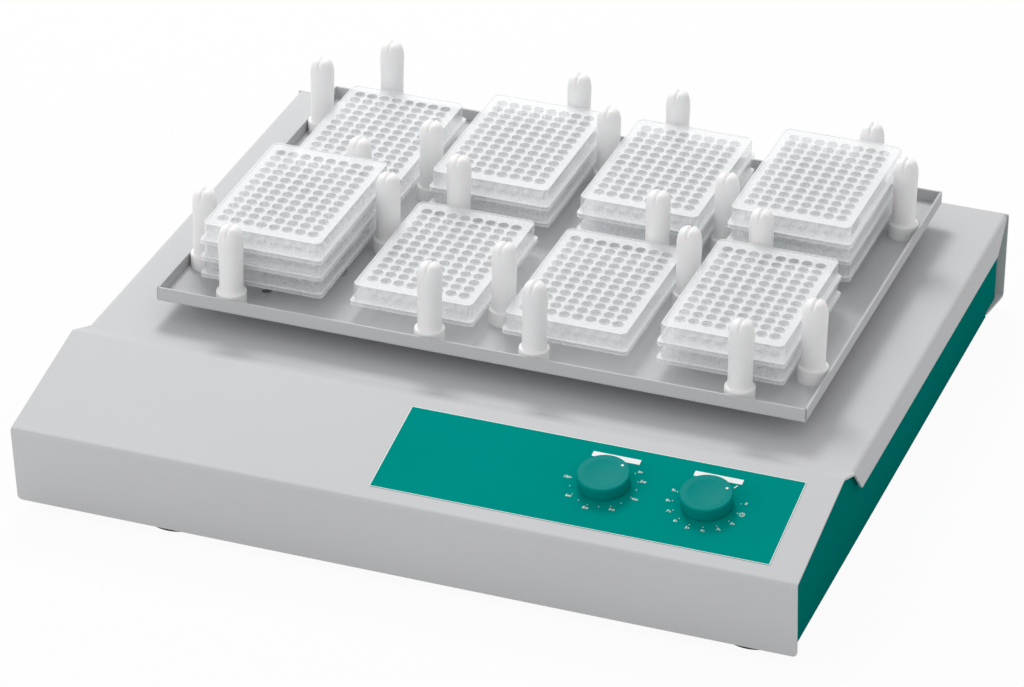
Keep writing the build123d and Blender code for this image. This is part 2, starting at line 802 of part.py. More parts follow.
# Motor: its can stands on a bracket with the shaft pointing down to the belt.
with BuildPart() as motor_body:
    with BuildSketch(Plane.XY.offset(bracket_top_z)):
        with Locations((motor_x, tray_y)):
            Circle(motor_radius)
    extrude(amount=motor_length)
    fillet(motor_body.edges().group_by(Axis.Z)[-1], radius=motor_edge_radius)
    with BuildSketch(Plane.XY.offset(bracket_top_z - bracket_sheet)):
        with Locations((motor_x, tray_y)):
            Circle(motor_nose_radius)
    extrude(amount=bracket_sheet)
    with BuildSketch(Plane.XY.offset(bracket_top_z - bracket_sheet)):
        with Locations((motor_x, tray_y)):
            Circle(motor_shaft_radius + running_gap)
    extrude(amount=bracket_sheet + motor_length / 2 + running_gap, mode=Mode.SUBTRACT)
save(motor_body, "motor_body")

with BuildPart() as motor_shaft:
    with BuildSketch(Plane.XY.offset(pulley_low_z)):
        with Locations((motor_x, tray_y)):
            Circle(motor_shaft_radius)
    extrude(amount=bracket_top_z + motor_length / 2 - pulley_low_z)
save(motor_shaft, "motor_shaft")

with BuildPart() as motor_bracket:
    with BuildSketch(Plane.YZ.offset(motor_x)):
        with BuildLine():
            Polyline(
                (tray_y - bracket_size / 2 - bracket_foot, floor_top),
                (tray_y - bracket_size / 2, floor_top),
                (tray_y - bracket_size / 2, bracket_top_z - bracket_sheet),
                (tray_y + bracket_size / 2, bracket_top_z - bracket_sheet),
                (tray_y + bracket_size / 2, floor_top),
                (tray_y + bracket_size / 2 + bracket_foot, floor_top),
            )
            offset(amount=bracket_sheet, side=Side.LEFT, kind=Kind.INTERSECTION)
        make_face()
    extrude(amount=bracket_size / 2, both=True)
    with BuildSketch(Plane.XY.offset(bracket_top_z)):
        with Locations((motor_x, tray_y)):
            Circle(motor_nose_radius + seat_gap)
    extrude(amount=-bracket_sheet, mode=Mode.SUBTRACT)
save(motor_bracket, "motor_bracket")

# Corner idlers: four bearing blocks on the floor, each with a crank like the drive shaft's.
idler_axes = at_cranks(idler_places)
with BuildPart() as idler_blocks:
    with BuildSketch(Plane.XY.offset(floor_top)):
        with Locations(*idler_axes):
            Circle(block_flange_radius)
    extrude(amount=block_flange)
    with BuildSketch(Plane.XY.offset(floor_top)):
        with Locations(*idler_axes):
            Circle(block_radius)
    extrude(amount=block_top_z - floor_top)
    with BuildSketch(Plane.XY.offset(floor_top)):
        with Locations(*idler_axes):
            Circle(idler_bearing_radius - block_shoulder)
    extrude(amount=block_top_z - floor_top, mode=Mode.SUBTRACT)
    for seat_z in (floor_top + block_flange, block_top_z - bearing_width):
        with BuildSketch(Plane.XY.offset(seat_z)):
            with Locations(*idler_axes):
                Circle(idler_bearing_radius + seat_gap)
        extrude(amount=bearing_width, mode=Mode.SUBTRACT)
save(idler_blocks, "idler_blocks")

with BuildPart() as idler_bearings:
    for seat_z in (floor_top + block_flange, block_top_z - bearing_width):
        with BuildSketch(Plane.XY.offset(seat_z)):
            with Locations(*idler_axes):
                Circle(idler_bearing_radius)
                Circle(idler_shaft_radius + running_gap, mode=Mode.SUBTRACT)
        extrude(amount=bearing_width)
save(idler_bearings, "idler_bearings")

for number, (x, y) in enumerate(idler_places, start=1):
    with BuildPart() as idler_crank:
        with BuildSketch(Plane.XY.offset(floor_top + face_gap)):
            with Locations((drive_x + x, tray_y + y)):
                Circle(idler_shaft_radius)
        extrude(amount=web_low_z - floor_top - face_gap)
        with BuildSketch(Plane.XY.offset(web_low_z)):
            with Locations((drive_x + x, tray_y + y)):
                Circle(idler_web_radius)
        extrude(amount=crank_web)
        with BuildSketch(Plane.XY.offset(web_top_z)):
            with Locations((tray_x + x, tray_y + y)):
                Circle(idler_collar_radius)
        extrude(amount=crank_collar)
        with BuildSketch(Plane.XY.offset(carrier_low_z)):
            with Locations((tray_x + x, tray_y + y)):
                Circle(idler_pin_radius)
        extrude(amount=carrier_sheet)
    save(idler_crank, f"idler_crank_{number}")

# Carrier: a four-armed plate with a bearing seat over the drive and over each idler.
arm_length = hypot(idler_reach_x, idler_reach_y)
arm_angle = degrees(atan2(idler_reach_y, idler_reach_x))
with BuildPart() as carrier:
    with BuildSketch(Plane.XY.offset(carrier_low_z)):
        with Locations((tray_x, tray_y)):
            Circle(carrier_hub_radius)
            for angle in (arm_angle, -arm_angle):
                Rectangle(2 * arm_length, carrier_arm_width, rotation=angle)
        with Locations(*at_tray(idler_places)):
            Circle(carrier_end_radius)
        with Locations((tray_x, tray_y)):
            Circle(crank_bearing_radius + seat_gap, mode=Mode.SUBTRACT)
        with Locations(*at_tray(idler_places)):
            Circle(idler_end_bearing_radius + seat_gap, mode=Mode.SUBTRACT)
    extrude(amount=carrier_sheet)
save(carrier, "carrier")

with BuildPart() as carrier_bearings:
    with BuildSketch(Plane.XY.offset(seat_low_z)):
        with Locations((tray_x, tray_y)):
            Circle(crank_bearing_radius)
            Circle(crank_pin_radius + running_gap, mode=Mode.SUBTRACT)
        with Locations(*at_tray(idler_places)):
            Circle(idler_end_bearing_radius)
            Circle(idler_pin_radius + running_gap, mode=Mode.SUBTRACT)
    extrude(amount=carrier_top_z - seat_low_z)
save(carrier_bearings, "carrier_bearings")

# Posts carry the tray on the carrier, through the deck's holes.
with BuildPart() as tray_posts:
    with BuildSketch(Plane.XY.offset(carrier_top_z)):
        with Locations(*at_tray(post_places)):
            Circle(post_radius)
    extrude(amount=tray_bottom - carrier_top_z)
    with BuildSketch(Plane.XY.offset(tray_bottom)):
        with Locations(*at_tray(post_places)):
            Circle(tray_screw_radius + seat_gap)
    extrude(amount=-tray_screw_grip, mode=Mode.SUBTRACT)
save(tray_posts, "tray_posts")

with BuildPart() as tray_screws:
    with BuildSketch(Plane.XY.offset(tray_floor)):
        with Locations(*at_tray(post_places)):
            Circle(tray_screw_head_radius)
    extrude(amount=tray_screw_head)
    with BuildSketch(Plane.XY.offset(tray_floor)):
        with Locations(*at_tray(post_places)):
            Circle(tray_screw_radius)
    extrude(amount=-(tray_sheet + tray_screw_grip - face_gap))
save(tray_screws, "tray_screws")

with BuildPart() as drive_screws:
    with BuildSketch(Plane.XY.offset(floor_top + block_flange)):
        with Locations(*idler_axes):
            with PolarLocations((block_radius + block_flange_radius) / 2, 2):
                Circle(drive_screw_head_radius)
    extrude(amount=drive_screw_head)
    with BuildSketch(Plane.XY.offset(bridge_low_z + bridge_sheet)):
        with Locations((drive_x, tray_y)):
            with GridLocations(bridge_legs, bridge_legs, 2, 2):
                Circle(drive_screw_head_radius)
    extrude(amount=drive_screw_head)
save(drive_screws, "drive_screws")

# Tray: a shallow pan folded from one sheet, slit at its corners, drilled for the fixings.
with BuildPart() as tray:
    with BuildSketch(Plane.XY.offset(tray_bottom)):
        with Locations((tray_x, tray_y)):
            Rectangle(2 * tray_half_width, 2 * tray_half_depth)
    extrude(amount=tray_rim)
    fillet(tray.edges().group_by(Axis.Z)[0], radius=tray_fold_radius)
    with BuildSketch(Plane.XY.offset(tray_floor)):
        with Locations((tray_x, tray_y)):
            Rectangle(2 * (tray_half_width - tray_sheet), 2 * (tray_half_depth - tray_sheet))
    extrude(amount=tray_rim, mode=Mode.SUBTRACT)
    with BuildSketch(Plane.XY.offset(tray_floor)):
        with Locations((tray_x, tray_y)):
            with GridLocations(2 * tray_half_width, 2 * tray_half_depth, 2, 2):
                for angle in (45, 135):
                    Rectangle(2 * tray_fold_radius + 2 * tray_sheet, tray_slit, rotation=angle)
    extrude(amount=tray_rim, mode=Mode.SUBTRACT)
    with BuildSketch(Plane.XY.offset(tray_bottom)):
        with Locations(*at_tray(pin_places)):
            Circle(pin_screw_radius + seat_gap)
        with Locations(*at_tray(post_places)):
            Circle(tray_screw_radius + seat_gap)
        with Locations((tray_x + tray_hole_x, tray_y + tray_hole_y)):
            Circle(tray_hole_radius)
    extrude(amount=tray_sheet, mode=Mode.SUBTRACT)
save(tray, "tray")

# Pins: a shaft that swells towards its head, with a rounded crown and a slit that lets the head
# spring, and around its foot a separate collar that the plates rest on.
pin_profile = [
    (0, 0),
    (pin_foot_radius, 0),
    (pin_foot_radius, pin_collar_rise),
    (pin_head_radius, pin_rise - pin_head_drop),
    (pin_crown_radius, pin_rise - pin_crown_drop),
    (0, pin_rise),
    (0, 0),
]
with BuildPart() as pin_shaft:
    with BuildSketch(Plane.XZ):
        with BuildLine():
            Polyline(*pin_profile[:4])
            ThreePointArc(
                pin_profile[3],
                ((pin_head_radius + pin_crown_radius) / 2 + pin_crown_bulge, pin_rise - pin_head_drop / 2),
                pin_profile[4],
            )
            Polyline(*pin_profile[4:])
        make_face()
    revolve(axis=Axis.Z)
    with BuildSketch(Plane.XZ):
        with Locations((0, pin_rise - pin_slit_depth / 2)):
            Rectangle(pin_slit, pin_slit_depth)
    extrude(amount=pin_collar_radius, mode=Mode.SUBTRACT)
    with BuildSketch(Plane.XY):
        Circle(pin_screw_radius + seat_gap)
    extrude(amount=pin_screw_grip, mode=Mode.SUBTRACT)

with BuildPart() as pin_collar:
    with BuildSketch():
        Circle(pin_collar_radius)
    extrude(amount=pin_collar_rise)
    chamfer(pin_collar.edges().group_by(Axis.Z)[-1], length=pin_collar_edge)
    with BuildSketch():
        Circle(pin_foot_radius + seat_gap)
    extrude(amount=pin_collar_rise, mode=Mode.SUBTRACT)

for name, rows in pin_rows.items():
    with BuildPart() as pins:
        places = [(tray_x + x, tray_y + y, tray_floor) for y, row in rows for x in row]
        with Locations(*places):
            add(pin_shaft.part)
            add(pin_collar.part)
    save(pins, name)

with BuildPart() as pin_screws:
    with BuildSketch(Plane.XY.offset(tray_bottom)):
        with Locations(*at_tray(pin_places)):
            RegularPolygon(pin_screw_head_radius, 6)
    extrude(amount=-pin_screw_head)
    with BuildSketch(Plane.XY.offset(tray_bottom)):
        with Locations(*at_tray(pin_places)):
            Circle(pin_screw_radius)
    extrude(amount=tray_sheet + pin_screw_grip - face_gap)
save(pin_screws, "pin_screws")

# Plates: a skirt, a body set in above it and a recess below that drops over the next plate down.
with BuildPart() as plate:
    with BuildSketch():
        RectangleRounded(plate_width, plate_depth, plate_corner_radius)
    extrude(amount=plate_skirt)
    with BuildSketch(Plane.XY.offset(plate_skirt)):
        Rectangle(plate_width - 2 * plate_inset, plate_depth - 2 * plate_inset)
    extrude(amount=plate_height - plate_skirt)
    upright = plate.edges().filter_by(Axis.Z).filter_by_position(Axis.Z, plate_skirt, plate_height)
    chamfer(upright, length=plate_top_chamfer)
    with BuildSketch():
        nest = plate_inset - plate_nest_gap
        RectangleRounded(plate_width - 2 * nest, plate_depth - 2 * nest, plate_corner_radius - nest)
    extrude(amount=plate_nest, mode=Mode.SUBTRACT)

for row, side in (("front", -1), ("rear", 1)):
    middle_column = (len(plate_counts[row]) - 1) / 2
    for column, layers in enumerate(plate_counts[row]):
        x = tray_x + (column - middle_column) * plate_pitch_x
        y = tray_y + side * plate_row_y
        for layer in range(layers):
            with BuildPart() as placed_plate:
                with Locations((x, y, plate_seat + layer * plate_step)):
                    add(plate.part)
            save(placed_plate, f"plate_{row}_{column + 1}_layer_{layer + 1}")
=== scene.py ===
import json
import math

import bmesh
import bpy
from mathutils import Matrix, Vector


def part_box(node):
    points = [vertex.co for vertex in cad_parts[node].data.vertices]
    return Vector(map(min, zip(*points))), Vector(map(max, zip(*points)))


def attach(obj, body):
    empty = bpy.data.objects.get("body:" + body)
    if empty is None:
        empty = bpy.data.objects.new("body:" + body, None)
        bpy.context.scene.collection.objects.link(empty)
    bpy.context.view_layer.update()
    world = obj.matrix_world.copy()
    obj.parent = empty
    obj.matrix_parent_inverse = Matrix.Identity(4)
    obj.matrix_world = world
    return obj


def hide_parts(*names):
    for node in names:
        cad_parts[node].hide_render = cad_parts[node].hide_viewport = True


# Looks of the microplate shaker: finishes of every part, clear plates with their wells, turned
# pins, the print on the control film and a painted highlight round the film's edge. Metres,
# X to the right, Y to the back, Z up.

MM = 0.001
UP = Vector((0, 0, 1))

# Points of a mesh that lie closer than this are one.
MERGE_DISTANCE = 0.001 * MM

# Camera, fitted to the photograph: angles in degrees, sensor and lens in millimetres.
CAMERA_PLACE = (0.95226, -2.73255, 1.67657)
CAMERA_YAW = 19.43
CAMERA_PITCH = -29.40
CAMERA_ROLL = 0.84
SENSOR_WIDTH = 36.0
CAMERA_LENS = 177.12

# Lamps: place, aim, size and power. The key stands behind and to the left, above.
KEY_PLACE = (-0.64, 1.00, 1.75)
KEY_AIM = (0.0, -0.05, 0.08)
KEY_SIZE = (0.7, 0.7)
KEY_POWER = 20.0
FILL_PLACE = (-1.6, -2.0, 1.1)
FILL_AIM = (0.0, 0.0, 0.05)
FILL_SIZE = (1.6, 1.2)
FILL_POWER = 11.0

# Surround and floor: the light they give, and how much plain white the camera sees of the floor.
SKY_LEVEL = 0.63
FLOOR_WHITE = 0.8
FLOOR_ROUGH = 0.9
FLOOR_MIRROR = 0.1
FLOOR_GLOW = 0.94
FLOOR_HALF = 6.0

# Colours of the finishes: linear red, green and blue.
WHITE = (1.0, 1.0, 1.0)
GREY_PAINT = (0.61, 0.615, 0.625)
TRAY_PAINT = (0.57, 0.575, 0.585)
TEAL_PAINT = (0.0, 0.185, 0.162)
TEAL_FILM = (0.0, 0.275, 0.24)
TEAL_PLASTIC = (0.0, 0.255, 0.232)
# White ink of the print; the painted highlight round the film's edge has this colour too.
WHITE_INK_AND_EDGE_HIGHLIGHT = (0.86, 0.87, 0.87)
WHITE_PLASTIC = (0.93, 0.93, 0.93)
DARK_PLASTIC = (0.03, 0.03, 0.032)
BLACK_RUBBER = (0.03, 0.031, 0.031)
BRIGHT_STEEL = (0.62, 0.62, 0.61)
BEARING_STEEL = (0.55, 0.55, 0.56)
ZINC = (0.52, 0.53, 0.54)
ZINC_CRYSTAL = (0.68, 0.69, 0.71)
MOTOR_CAN = (0.35, 0.35, 0.36)
MACHINED_ALLOY = (0.74, 0.74, 0.75)
CAST_ALLOY = (0.6, 0.6, 0.61)
CAST_IRON = (0.17, 0.17, 0.175)
CORE_SHEET = (0.2, 0.2, 0.21)
CORE_GAP = (0.08, 0.08, 0.085)
COPPER = (0.72, 0.32, 0.15)
COPPER_GAP = (0.3, 0.11, 0.05)
BRASS = (0.8, 0.64, 0.3)
SOLDER_MASK = (0.02, 0.17, 0.06)
BOARD_TRACK = (0.05, 0.27, 0.1)
CLEAR_TINT = (0.985, 0.99, 0.992)
MILK = (0.93, 0.94, 0.95)

# Darker specks of the powder coat, as a share of its colour.
SPECK_SHADE = 0.86

# Stripes in a metre of a wave texture whose scale is 1.
STRIPES_AT_SCALE_ONE = 6.4

# Clear plastic: how milky its walls and its upward faces are, and how much that varies. The extra
# milk on upward faces is a painted sheen that stands in for the reflection that brightens the tops.
HAZE_SIDE = 0.3
TOP_HAZE_AND_PAINTED_SHEEN = 0.66
HAZE_SPREAD = 0.05

# Clear plastic's mirror: its share seen head on and along the surface, and how late it rises.
GLOSS_HEAD_ON = 0.05
GLOSS_GRAZING = 0.8
GLOSS_POWER = 4.0

# Control film, as in the part.
PANEL_SLOPE = 12.14
FILM = 0.3 * MM

# Print on the film and the painted highlight round its edge: their thickness, the width of the
# highlight line, and the bar over each dial.
INK_AND_HIGHLIGHT_THICKNESS = 0.03 * MM
EDGE_HIGHLIGHT_WIDTH = 0.45 * MM
BAR_LEFT = -15.7 * MM
BAR_RIGHT = 15.7 * MM
BAR_LOW = 22.3 * MM
BAR_HIGH = 26.8 * MM

# Labels and ticks round a dial. Slant, weight, gap and digit height are shares of a label's size.
LABEL_SIZE = 2.9 * MM
SMALL_SHARE = 0.74
LABEL_SLANT = 0.18
LABEL_WEIGHT = 0.012
LABEL_GAP = 0.12
DIGIT_HEIGHT = 0.7
LABEL_CURVE_STEPS = 3
LABEL_RADIUS = 24.2 * MM
TICK_RADIUS = 21.2 * MM
TICK_DOT = 0.33 * MM
DOT_SIDES = 16

# The timer's small clock, and the stroke at the end of its scale.
CLOCK_RADIUS = 0.6 * LABEL_SIZE
CLOCK_LINE = 0.11 * LABEL_SIZE
CLOCK_LONG_HAND = 0.7 * CLOCK_RADIUS
CLOCK_SHORT_HAND = 0.5 * CLOCK_RADIUS
STROKE_RADIUS = LABEL_RADIUS - 1.0 * MM
STROKE_HALF_WIDTH = 0.12 * LABEL_SIZE
STROKE_HALF_LENGTH = 0.5 * LABEL_SIZE

# Pointer dots: paint in the dimple of each knob.
POINTER_RING = 13.3 * MM
POINTER_DOT = 0.95 * MM
POINTER_ANGLES = {"speed": 45.0, "timer": 32.6}
KNOB_DIMPLE = 0.3 * MM

# Labels of the two dials: big and small characters, and their angle in degrees, counted
# anticlockwise from the right.
SPEED_LABELS = [
    ("1", "00", 42.0),
    ("2", "00", 20.0),
    ("4", "00", -20.0),
    ("6", "00", -60.0),
    ("8", "00", -100.0),
    ("1", "000", -138.0),
    ("12", "00", 180.0),
]
TIMER_FIRST_ANGLE = -31.8
TIMER_STEP = 23.3
TIMER_HOURS = range(2, 10)
TIMER_ZERO_ANGLE = 15.6
TIMER_CLOCK_ANGLE = -8.3
TIMER_STROKE_ANGLE = 57.0
TIMER_LABELS = [("0", "", TIMER_ZERO_ANGLE)] + [
    (str(hour), "h", TIMER_FIRST_ANGLE - TIMER_STEP * (hour - TIMER_HOURS[0]))
    for hour in TIMER_HOURS
]
DIAL_LABELS = {"speed": SPEED_LABELS, "timer": TIMER_LABELS}

# Angles of the ticks that have no number.
BARE_TICKS = {"speed": [0.0, -41.0, -80.0, -119.0, -159.0], "timer": [TIMER_CLOCK_ANGLE]}

# Plates: the parts of the standard form that the well mesh adds to the solid's outline.
WELL_COLUMNS = 8
WELL_ROWS = 12
WELL_PITCH = 9.0 * MM
WELL_SIDES = 12
WELL_DEPTH = 10.9 * MM
WELL_RIM_RISE = 0.5 * MM
WELL_RIM_FOOT = 4.05 * MM
WELL_RIM_EDGE = 3.9 * MM
WELL_MOUTH = 3.48 * MM
WELL_FLOOR = 3.2 * MM
WELL_FLOOR_EDGE = 0.7 * MM
PLATE_INSET = 1.8 * MM
PLATE_SKIRT = 2.8 * MM
PLATE_CORNER = 3.18 * MM
PLATE_CHAMFER = 3.0 * MM
PLATE_NEST = 2.15 * MM
PLATE_NEST_GAP = 0.3 * MM
PLATE_LIP = 1.2 * MM
PLATE_EDGE = 0.25 * MM
CORNER_STEPS = 4
PLATE_SHARP_ANGLE = math.radians(35)

# Pins: radius and height of each ring in millimetres, from the foot up, and the notch across
# the crown. Solids lower than the shortest pin are collars. Pins whose Y is the same to so
# many digits stand in one row.
PIN_SIDES = 48
PIN_RINGS = [
    (10.0, 0.0), (10.0, 9.2), (9.8, 9.8), (9.2, 10.1), (8.3, 10.1), (7.95, 10.5),
    (7.97, 14.0), (8.0, 28.0), (8.1, 36.0), (8.3, 43.0), (8.35, 46.0), (8.15, 48.6),
    (7.75, 51.0), (7.1, 53.2), (6.2, 54.9), (5.0, 56.0), (3.6, 56.6), (1.8, 56.8),
]
PIN_SHORTEST = 50.0 * MM
PIN_ROW_DIGITS = 4
PIN_SHARP_ANGLE = math.radians(50)
NOTCH_HALF = 1.1 * MM
NOTCH_DEPTH = 2.0 * MM
NOTCH_LOWEST = 50.0 * MM


def add(tree, kind, inputs=None, **settings):
    """A new node with its settings; an input is a constant or the output that it is linked from."""
    made = tree.nodes.new(kind)
    for name, value in settings.items():
        setattr(made, name, value)
    for socket, value in (inputs or {}).items():
        if isinstance(value, bpy.types.NodeSocket):
            tree.links.new(value, made.inputs[socket])
        else:
            made.inputs[socket].default_value = value
    return made


def shade(colour, factor=1.0):
    """The colour, or a lighter or darker one, as a socket's value."""
    return (*[min(1.0, part * factor) for part in colour], 1.0)


def place(tree, stretch=(1.0, 1.0, 1.0)):
    """The point on the piece, in metres, stretched along the axes."""
    where = add(tree, "ShaderNodeTexCoord").outputs["Object"]
    return add(tree, "ShaderNodeMapping", {"Vector": where, "Scale": stretch}).outputs["Vector"]


def noise(tree, scale, detail=3.0, rough=0.5, stretch=(1.0, 1.0, 1.0)):
    """A noise from 0 to 1 with so many features in a metre."""
    return add(
        tree,
        "ShaderNodeTexNoise",
        {"Vector": place(tree, stretch), "Scale": scale, "Detail": detail, "Roughness": rough},
    ).outputs["Fac"]


def spread(tree, value, low, high, from_low=0.3, from_high=0.7):
    """The value taken from one range to another."""
    return add(
        tree,
        "ShaderNodeMapRange",
        {"Value": value, "From Min": from_low, "From Max": from_high, "To Min": low, "To Max": high},
    ).outputs["Result"]


def calculate(tree, operation, first, second):
    """Two numbers joined by an operation."""
    return add(tree, "ShaderNodeMath", {0: first, 1: second}, operation=operation).outputs[0]


def blend(tree, share, first, second):
    """A colour between two; a share of 1 is all of the second one."""
    inputs = {"Factor": share, "A": first, "B": second}
    return add(tree, "ShaderNodeMix", inputs, data_type="RGBA").outputs["Result"]


def mix_shaders(tree, share, first, second):
    """Two shaders mixed; a share of 1 is all of the second one."""
    return add(tree, "ShaderNodeMixShader", {0: share, 1: first, 2: second}).outputs[0]


def relief(tree, height, depth, strength=1.0, under=None):
    """A bump of a depth in metres, over another bump if there is one."""
    inputs = {"Height": height, "Distance": depth, "Strength": strength}
    if under is not None:
        inputs["Normal"] = under
    return add(tree, "ShaderNodeBump", inputs).outputs["Normal"]


def new_material(name):
    """A new material with nodes."""
    made = bpy.data.materials.new(name)
    made.use_nodes = True
    return made


def opened(material):
    """A material's nodes, and the plain shader among them."""
    tree = material.node_tree
    return tree, tree.nodes["Principled BSDF"]


def source(shader, socket):
    """The output that an input of the shader is linked from."""
    return shader.inputs[socket].links[0].from_socket


def finish(name, colour, rough, mottle=0.04, blotch=25.0, grain=900.0, depth=0.02 * MM,
           rough_spread=0.06, stretch=(1.0, 1.0, 1.0), **sockets):
    """A plain finish: a mottled colour, a grain in its relief and an uneven gloss."""
    made = new_material(name)
    tree, shader = opened(made)
    patches = noise(tree, blotch, detail=4.0)
    fine = noise(tree, grain, detail=2.0, stretch=stretch)
    share = spread(tree, patches, 0.0, 1.0)
    tint = blend(tree, share, shade(colour, 1 - mottle), shade(colour, 1 + mottle))
    tree.links.new(tint, shader.inputs["Base Color"])
    gloss = spread(tree, fine, rough - rough_spread, rough + rough_spread)
    tree.links.new(gloss, shader.inputs["Roughness"])
    tree.links.new(relief(tree, fine, depth), shader.inputs["Normal"])
    for socket, value in sockets.items():
        shader.inputs[socket.replace("_", " ")].default_value = value
    return made


def powder_coat(name, colour, mirror=0.15):
    """Fine-textured baked paint: shallow orange peel and small darker specks."""
    made = finish(name, colour, rough=0.6, mottle=0.012, blotch=7.0, grain=1400.0,
                  depth=0.03 * MM, Specular_IOR_Level=mirror)
    tree, shader = opened(made)
    peel = noise(tree, 420.0, detail=2.0)
    bumps = relief(tree, peel, depth=0.05 * MM, strength=0.5, under=source(shader, "Normal"))
    tree.links.new(bumps, shader.inputs["Normal"])
    specks = spread(tree, noise(tree, 1900.0, detail=1.0), 0.0, 1.0, from_low=0.66, from_high=0.76)
    tint = blend(tree, specks, source(shader, "Base Color"), shade(colour, SPECK_SHADE))
    tree.links.new(tint, shader.inputs["Base Color"])
    return made


def grey_paint():
    return powder_coat("grey_powder_coat", GREY_PAINT)


def tray_paint():
    return powder_coat("tray_powder_coat", TRAY_PAINT)


def teal_paint():
    return powder_coat("teal_powder_coat", TEAL_PAINT, mirror=0.0)


def teal_film():
    return finish("teal_film", TEAL_FILM, rough=0.6, mottle=0.02, blotch=14.0, grain=2600.0,
                  depth=0.006 * MM, Specular_IOR_Level=0.0)


# White ink for the print, also used for the painted highlight round the film's edge.
def white_ink():
    return finish("white_ink", WHITE_INK_AND_EDGE_HIGHLIGHT, rough=0.5, mottle=0.02, grain=3000.0, depth=0.004 * MM)


def teal_plastic():
    return finish("teal_plastic", TEAL_PLASTIC, rough=0.3, mottle=0.02, grain=1600.0,
                  depth=0.01 * MM, Specular_IOR_Level=0.015)


def dark_plastic():
    return finish("dark_plastic", DARK_PLASTIC, rough=0.45, mottle=0.1, grain=1500.0,
                  depth=0.03 * MM)


def black_rubber():
    return finish("black_rubber", BLACK_RUBBER, rough=0.8, mottle=0.12, blotch=60.0,
                  grain=1800.0, depth=0.05 * MM, Specular_IOR_Level=0.05)


def white_plastic():
    return finish("white_plastic", WHITE_PLASTIC, rough=0.38, mottle=0.012, blotch=60.0,
                  grain=700.0, depth=0.012 * MM, Specular_IOR_Level=0.3,
                  Subsurface_Weight=0.12, Subsurface_Scale=0.003)


def brushed(name, colour, rough, stretch=(1.0, 1.0, 14.0)):
    """Metal with fine lines across the axis along which points are stretched."""
    return finish(name, colour, rough, mottle=0.06, grain=900.0, depth=0.012 * MM,
                  stretch=stretch, Metallic=1.0)


def bright_steel():
    return brushed("bright_steel", BRIGHT_STEEL, rough=0.24)


def bearing_steel():
    return brushed("bearing_steel", BEARING_STEEL, rough=0.2)


def zinc_sheet():
    """Zinc plate with its pale crystals."""
    made = brushed("zinc_sheet", ZINC, rough=0.38, stretch=(1.0, 1.0, 1.0))
    tree, shader = opened(made)
    cells = add(tree, "ShaderNodeTexVoronoi", {"Vector": place(tree), "Scale": 240.0})
    value = add(tree, "ShaderNodeSeparateColor", {"Color": cells.outputs["Color"]}).outputs["Red"]
    share = spread(tree, value, 0.0, 0.5, from_low=0.0, from_high=1.0)
    tint = blend(tree, share, source(shader, "Base Color"), shade(ZINC_CRYSTAL))
    tree.links.new(tint, shader.inputs["Base Color"])
    return made


def motor_can():
    return brushed("motor_can", MOTOR_CAN, rough=0.33)


def alloy():
    return brushed("machined_alloy", MACHINED_ALLOY, rough=0.28, stretch=(14.0, 14.0, 1.0))


def cast_alloy():
    return finish("cast_alloy", CAST_ALLOY, rough=0.5, mottle=0.08, grain=600.0,
                  depth=0.12 * MM, Metallic=1.0)


def cast_iron_grey():
    return finish("cast_iron", CAST_IRON, rough=0.6, mottle=0.14, grain=500.0,
                  depth=0.15 * MM, Metallic=0.6)


def striped(name, colour, gap_colour, rough, pitch, axis, metallic):
    """Metal laid up in fine sheets or turns along an axis."""
    made = finish(name, colour, rough, mottle=0.08, grain=1200.0, depth=0.01 * MM,
                  Metallic=metallic)
    tree, shader = opened(made)
    scale = 1.0 / pitch / STRIPES_AT_SCALE_ONE
    inputs = {"Vector": place(tree), "Scale": scale, "Distortion": 0.4, "Detail": 1.0}
    lines = add(tree, "ShaderNodeTexWave", inputs, bands_direction=axis).outputs["Fac"]
    share = spread(tree, lines, 0.0, 1.0)
    tint = blend(tree, share, shade(gap_colour), source(shader, "Base Color"))
    tree.links.new(tint, shader.inputs["Base Color"])
    bumps = relief(tree, lines, depth=0.1 * MM, strength=0.6, under=source(shader, "Normal"))
    tree.links.new(bumps, shader.inputs["Normal"])
    return made


def core_steel():
    return striped("core_laminations", CORE_SHEET, CORE_GAP, rough=0.5, pitch=0.5 * MM,
                   axis="Y", metallic=0.7)


def copper_coil():
    return striped("copper_winding", COPPER, COPPER_GAP, rough=0.32, pitch=0.8 * MM,
                   axis="Z", metallic=0.9)


def brass_blade():
    return brushed("brass_blade", BRASS, rough=0.26)


def board_green():
    """Solder mask over the copper tracks of a board."""
    made = finish("board_green", SOLDER_MASK, rough=0.35, mottle=0.05, grain=1500.0)
    tree, shader = opened(made)
    inputs = {"Vector": place(tree), "Scale": 90.0, "Mortar Size": 0.012}
    tracks = add(tree, "ShaderNodeTexBrick", inputs).outputs["Fac"]
    tint = blend(tree, tracks, source(shader, "Base Color"), shade(BOARD_TRACK))
    tree.links.new(tint, shader.inputs["Base Color"])
    return made


